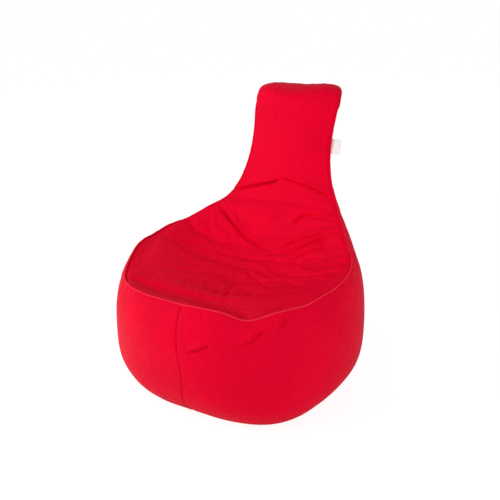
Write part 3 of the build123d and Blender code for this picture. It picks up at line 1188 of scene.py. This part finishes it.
class BEANBAG_OT_base(bpy.types.Operator):
    """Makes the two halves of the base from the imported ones, with the cover's stance"""

    bl_idname = "beanbag.base"
    bl_label = "Base Panels"

    def execute(self, context):
        for name, node in BASE_HALVES:
            half = edit_mesh(frame["nodes"][node].data)
            bmesh.ops.remove_doubles(half, verts=half.verts, dist=1e-5)
            low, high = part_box(node)
            for axis in (Vector((1, 0, 0)), Vector((0, 1, 0))):
                for place in np.arange(axis.dot(low) + BASE_CUT_START, axis.dot(high), BASE_CUT_STEP):
                    geometry = [*half.verts, *half.edges, *half.faces]
                    bmesh.ops.bisect_plane(
                        half, geom=geometry, dist=1e-6, plane_co=axis * place, plane_no=axis)
            weave = half.loops.layers.uv.new(WEAVE_UV)
            for face in half.faces:
                for loop in face.loops:
                    loop[weave].uv = loop.vert.co.xy
            mesh = new_mesh(name, half)
            set_points(mesh, pushed(mesh_points(mesh)))
            smooth_faces(mesh, BASE_SHARP)
            colour = shade(settings().cover.red, 0.8)
            cloth = made_once(woven_material, "red_base_cloth", colour, pitch=0.0016, sheen=0.15)
            mesh.materials.append(cloth)
            obj = link_object(name, mesh)
            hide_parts(node)
            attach(obj, "seat")
        return {"FINISHED"}


def tube_mesh(name, points, radius, seed):
    """Closed tube of uneven thickness along a loop of points."""
    random = np.random.default_rng(seed)
    curve = bpy.data.curves.new(name, "CURVE")
    curve.dimensions = "3D"
    curve.bevel_depth = 1
    curve.bevel_resolution = 2
    spline = curve.splines.new("POLY")
    spline.points.add(len(points) - 1)
    spline.use_cyclic_u = True
    thick = radius * (1 + ROLL_WAVES * rim_waves(np.arange(len(points)), len(points), seed))
    for point, place, size in zip(spline.points, points, thick):
        point.co = (*place, 1)
        point.radius = size * random.uniform(*ROLL_NOISE)
    holder = bpy.data.objects.new(name, curve)
    mesh = bpy.data.meshes.new_from_object(holder)
    bpy.data.objects.remove(holder)
    bpy.data.curves.remove(curve)
    return mesh


class BEANBAG_OT_rolls(bpy.types.Operator):
    """Rolls the edges of the cloth along the rim and along the base seam"""

    bl_idname = "beanbag.rolls"
    bl_label = "Seam Rolls"

    def execute(self, context):
        cover = settings().cover
        form = sewn_form()
        rim = seam_points(form, FRONT, (LEFT, RIGHT, BACK))
        number = nearest_on(rim, mesh_points(form))[1]
        outward = mesh_normals(form)[number]
        radius = cover.roll_radius * np.interp(rim[:, 2], ROLL_HEIGHTS, ROLL_SHARES)
        self.roll("rim_seam_roll", rim + outward * ROLL_STAND * radius[:, None], radius)
        base = seam_points(form, FRONT)
        self.roll("base_seam_roll", base, np.full(len(base), BASE_ROLL_SHARE * cover.roll_radius))
        return {"FINISHED"}

    def roll(self, name, points, radius):
        mesh = tube_mesh(name, points, radius, seed=11)
        roll = edit_mesh(mesh)
        weave = roll.loops.layers.uv.verify()
        for face in roll.faces:
            for loop in face.loops:
                loop[weave].uv = loop.vert.co.x, loop.vert.co.z
        roll.to_mesh(mesh)
        roll.free()
        mesh.uv_layers[0].name = WEAVE_UV
        smooth_faces(mesh)
        # The rolled edges take the lighter red, a painted highlight of the light caught along the roll.
        mesh.materials.append(made_once(woven_material, "red_cloth_edge", settings().cover.edge_highlight_red))
        obj = link_object(name, mesh)
        across_neck(obj)


class BEANBAG_OT_stitches(bpy.types.Operator):
    """Sews the stitched rows beside the front seam and the back seams"""

    bl_idname = "beanbag.stitches"
    bl_label = "Stitches"

    def execute(self, context):
        stitch = settings().stitch
        form = sewn_form()
        points = [vertex.co.copy() for vertex in form.vertices]
        tree = BVHTree.FromPolygons(points, [list(polygon.vertices) for polygon in form.polygons])
        front = seam_points(form, LEFT, (RIGHT,), front_only=True)
        self.sew("front_seam_stitches", tree, stitch, [front + np.array([stitch.offset, 0, 0])])
        rows = []
        for side, band in ((-1, LEFT), (1, RIGHT)):
            seam = seam_points(form, BACK, (band,))
            rows.append(seam - np.array([side * stitch.offset, 0, 0]))
        self.sew("back_seam_stitches", tree, stitch, rows)
        return {"FINISHED"}

    def sew(self, name, tree, stitch, rows):
        bead = bmesh.new()
        bmesh.ops.create_uvsphere(bead, u_segments=6, v_segments=5, radius=1)
        single = new_mesh("single_stitch", bead)
        thread = bmesh.new()
        for row in rows:
            lengths = run_lengths(row)
            for start in np.arange(ROW_START, lengths[-1] - ROW_END, stitch.length + stitch.gap):
                ends = at_length(row, lengths, np.array([start, start + stitch.length]))
                first, second = (Vector(tree.find_nearest(end)[0]) for end in ends)
                normal = tree.find_nearest((first + second) / 2)[1]
                along = (second - first).normalized()
                side = normal.cross(along).normalized()
                turn = Matrix((side, normal, along)).transposed().to_4x4()
                size = Matrix.Diagonal((stitch.radius, stitch.radius, stitch.length / 2, 1))
                place = Matrix.Translation((first + second) / 2 + normal * stitch.radius * THREAD_STAND)
                placed = single.copy()
                placed.transform(place @ turn @ size)
                thread.from_mesh(placed)
                bpy.data.meshes.remove(placed)
        bpy.data.meshes.remove(single)
        mesh = new_mesh(name, thread)
        smooth_faces(mesh)
        mesh.materials.append(made_once(thread_material, "red_thread", shade(settings().cover.red, 0.75)))
        obj = link_object(name, mesh)
        across_neck(obj)


def inner_bag(form, inset, floor):
    """Closed bag inside the cover form, smoothed, set in by a distance and flat at the bottom."""
    bag = edit_mesh(form)
    bmesh.ops.dissolve_degenerate(bag, dist=1e-6, edges=bag.edges)
    rounded = set()
    for vertex in bag.verts:
        if len({face.material_index == FRONT for face in vertex.link_faces}) == 2:
            rounded.add(vertex)
    for _ in range(RIM_RINGS):
        rounded |= {edge.other_vert(vertex) for vertex in rounded for edge in vertex.link_edges}
    for verts, times in ((bag.verts, ALL_ROUNDS), (list(rounded), RIM_ROUNDS)):
        for _ in range(times):
            bmesh.ops.smooth_vert(
                bag, verts=verts, factor=0.5, use_axis_x=True, use_axis_y=True, use_axis_z=True)
    bag.normal_update()
    for vertex, normal in [(vertex, vertex.normal.copy()) for vertex in bag.verts]:
        vertex.co -= normal * inset
    edge = [edge for edge in bag.edges if edge.is_boundary]
    made = bmesh.ops.extrude_edge_only(bag, edges=edge)["geom"]
    for vertex in made:
        if isinstance(vertex, bmesh.types.BMVert):
            vertex.co = Vector((vertex.co.x * BASE_SHARE, vertex.co.y * BASE_SHARE, floor))
    bmesh.ops.holes_fill(bag, edges=[edge for edge in bag.edges if edge.is_boundary], sides=0)
    bmesh.ops.recalc_face_normals(bag, faces=bag.faces)
    for face in bag.faces:
        face.material_index = 0
    return bag


class BEANBAG_OT_filling(bpy.types.Operator):
    """Puts the liner and the two bead fills inside the cover"""

    bl_idname = "beanbag.filling"
    bl_label = "Liner and Beads"

    def execute(self, context):
        form = bpy.data.meshes[INSIDE_NAME]
        liner = inner_bag(form, LINER_INSET, LINER_FLOOR)
        self.finish("bag_liner", liner, "inner_liner", "liner_fabric")
        for name, node, above in BEAD_FILLS:
            beads = inner_bag(form, BEAD_INSET, BEAD_FLOOR)
            geometry = [*beads.verts, *beads.edges, *beads.faces]
            bmesh.ops.bisect_plane(
                beads, geom=geometry, dist=1e-6, plane_co=NECK, plane_no=NECK_UP,
                clear_inner=above, clear_outer=not above)
            rim = [edge for edge in beads.edges if edge.is_boundary]
            bmesh.ops.holes_fill(beads, edges=rim, sides=0)
            self.finish(name, beads, node, "bead_fill")
        return {"FINISHED"}

    def finish(self, name, bag, node, slot):
        mesh = new_mesh(name, bag)
        smooth_faces(mesh, FOLD_SHARP)
        mesh.materials.clear()
        mesh.materials.append(self.material(slot))
        obj = link_object(name, mesh)
        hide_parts(node)
        across_neck(obj)

    def material(self, slot):
        if slot == "liner_fabric":
            return woven_material(
                "white_liner_cloth", (0.75, 0.75, 0.73), pitch=0.0013, sheen=0.1, gloss=WHITE)
        return made_once(bead_material, "white_beads", (0.85, 0.85, 0.84))


class BEANBAG_OT_label(bpy.types.Operator):
    """Folds the blank ribbon label that is caught in the right edge of the back"""

    bl_idname = "beanbag.label"
    bl_label = "Side Label"

    def execute(self, context):
        label = settings().label
        hinge = Vector(JOINTS["label_flap"]["pos_m"])
        up = Vector(JOINTS["label_flap"]["axis"]).normalized()
        out = Vector((1, 0, 0))
        face = out.cross(up).normalized()
        layer = label.reach + label.root - label.fold
        length = 2 * layer + math.pi * label.fold
        along, across = RIBBON_FACES
        ribbon = bmesh.new()
        weave = ribbon.loops.layers.uv.new(WEAVE_UV)
        bmesh.ops.create_grid(ribbon, x_segments=along, y_segments=across, size=1)
        for polygon in ribbon.faces:
            for loop in polygon.loops:
                loop[weave].uv = loop.vert.co.x * length / 2, loop.vert.co.y * label.height / 2
        for vertex in ribbon.verts:
            rise = vertex.co.y
            reach, aside = self.folded(label, layer, (vertex.co.x + 1) / 2 * length, rise)
            vertex.co = hinge + out * reach + up * (rise * label.height / 2 - label.drop) + face * aside
        obj = link_object("folded_label", new_mesh("folded_label", ribbon))
        wall = obj.modifiers.new("ribbon", "SOLIDIFY")
        wall.thickness = label.layer
        wall.offset = 0
        apply_modifiers(obj)
        smooth_faces(obj.data, FOLD_SHARP)
        cloth = woven_material("white_ribbon", label.white, pitch=0.0007, sheen=0.2, gloss=WHITE)
        obj.data.materials.append(cloth)
        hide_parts("side_label")
        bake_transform(obj)
        return {"FINISHED"}

    def folded(self, label, layer, run, rise):
        """Reach and sideways place of a point after the fold, by its run along the flat ribbon."""
        angle = min(max((run - layer) / label.fold, 0), math.pi)
        straight = min(run, layer) - max(run - layer - math.pi * label.fold, 0)
        reach = straight - label.root + label.fold * math.sin(angle)
        share = max(reach, 0) / layer
        ripple = RIPPLE_HEIGHT * share * math.sin(RIPPLE_TURN * rise + RIPPLE_START)
        lean = label.curl * share ** 2 + ripple
        return reach, label.fold * math.cos(angle) - lean - label.setback


class BEANBAG_OT_zip(bpy.types.Operator):
    """Gives the parts of the zip their finish"""

    bl_idname = "beanbag.zip"
    bl_label = "Zip"

    def execute(self, context):
        tape = zip_tape_material("red_zip_tape", shade(settings().cover.red, 0.6))
        teeth = moulded_material("red_zip_teeth", shade(settings().cover.red, 0.5))
        metal = metal_material("tumbled_nickel", (0.62, 0.60, 0.57))
        finishes = {
            tape: ("zip_tape_front", "zip_tape_rear"),
            teeth: ("zip_teeth_front", "zip_teeth_rear", "zip_top_stops", "zip_bottom_stop"),
            metal: ("zip_slider", "zip_pull"),
        }
        for material, names in finishes.items():
            for name in names:
                frame["nodes"][name].material_slots[0].material = material
        return {"FINISHED"}


class BEANBAG_OT_stage(bpy.types.Operator):
    """Sets the floor, the light and the camera"""

    bl_idname = "beanbag.stage"
    bl_label = "Studio"

    def execute(self, context):
        stage = settings().stage
        context.scene.view_settings.view_transform = "Standard"
        self.floor(stage)
        self.sky(context.scene, stage)
        self.lamp("key_lamp", stage.key, KEY_SIZE, KEY_PLACE)
        self.lamp("fill_lamp", stage.fill, FILL_SIZE, FILL_PLACE)
        data = bpy.data.cameras.new("camera")
        data.lens = stage.lens
        data.sensor_width = 36
        camera = link_object("camera", data)
        self.point(camera, stage.camera_place, stage.camera_aim)
        context.scene.camera = camera
        return {"FINISHED"}

    def point(self, obj, place, aim):
        obj.location = place
        obj.rotation_euler = (Vector(aim) - Vector(place)).to_track_quat("-Z", "Y").to_euler()

    def lamp(self, name, watts, size, place):
        data = bpy.data.lights.new(name, "AREA")
        data.energy = watts
        data.size = size
        self.point(link_object(name, data), place, LAMP_AIM)

    def seen_rays(self, tree):
        """One for rays from the camera, straight or through something clear."""
        path = add_node(tree, "ShaderNodeLightPath")
        seen = path.outputs["Is Camera Ray"], path.outputs["Is Transmission Ray"]
        return calculate(tree, "MAXIMUM", *seen)

    def floor(self, stage):
        plane = bmesh.new()
        bmesh.ops.create_grid(plane, x_segments=1, y_segments=1, size=stage.floor_size / 2)
        bmesh.ops.translate(plane, verts=plane.verts, vec=(0, 0, -stage.floor_drop))
        mesh = new_mesh("floor", plane)
        material, tree, shader = new_material("pale_floor")
        tone = (FLOOR_TONE, FLOOR_TONE, FLOOR_TONE, 1)
        set_inputs(tree, shader, {"Base Color": tone, "Roughness": 0.9, "Specular IOR Level": 0.1})
        glow = add_node(tree, "ShaderNodeEmission")
        lit = FLOOR_TONE * stage.sky * (1 - stage.floor_glow)
        glow.inputs["Strength"].default_value = (1 - lit) / stage.floor_glow
        mix = add_node(tree, "ShaderNodeMixShader")
        share = calculate(tree, "MULTIPLY", self.seen_rays(tree), stage.floor_glow)
        set_inputs(tree, mix, {0: share, 1: shader.outputs[0], 2: glow.outputs[0]})
        tree.links.new(mix.outputs[0], tree.nodes["Material Output"].inputs["Surface"])
        mesh.materials.append(material)
        link_object("floor", mesh)

    def sky(self, scene, stage):
        world = bpy.data.worlds.new("studio")
        scene.world = world
        world.use_nodes = True
        tree = world.node_tree
        strength = between(tree, self.seen_rays(tree), stage.sky, 1.0, 0, 1)
        set_inputs(tree, tree.nodes["Background"], {"Color": (*WHITE, 1), "Strength": strength})


class BEANBAG_PT_panel(bpy.types.Panel):
    """Buttons for the pieces of the chair"""

    bl_idname = "BEANBAG_PT_panel"
    bl_label = "Bean Bag Chair"
    bl_space_type = "VIEW_3D"
    bl_region_type = "UI"
    bl_category = "Bean Bag"

    def draw(self, context):
        for operator in OPERATORS:
            self.layout.operator(operator.bl_idname)


SETTINGS = (
    BeanBagCoverSettings,
    BeanBagStitchSettings,
    BeanBagLabelSettings,
    BeanBagStageSettings,
    BeanBagSettings,
)
OPERATORS = (
    BEANBAG_OT_cover,
    BEANBAG_OT_base,
    BEANBAG_OT_rolls,
    BEANBAG_OT_stitches,
    BEANBAG_OT_filling,
    BEANBAG_OT_label,
    BEANBAG_OT_zip,
    BEANBAG_OT_stage,
)


def register():
    for cls in (*SETTINGS, *OPERATORS, BEANBAG_PT_panel):
        bpy.utils.register_class(cls)
    bpy.types.Scene.bean_bag = PointerProperty(type=BeanBagSettings)


def unregister():
    del bpy.types.Scene.bean_bag
    for cls in reversed((*SETTINGS, *OPERATORS, BEANBAG_PT_panel)):
        bpy.utils.unregister_class(cls)


def main():
    register()
    bpy.ops.beanbag.cover()
    bpy.ops.beanbag.base()
    bpy.ops.beanbag.rolls()
    bpy.ops.beanbag.stitches()
    bpy.ops.beanbag.filling()
    bpy.ops.beanbag.label()
    bpy.ops.beanbag.zip()
    bpy.ops.beanbag.stage()


if __name__ == "__main__":
    main()
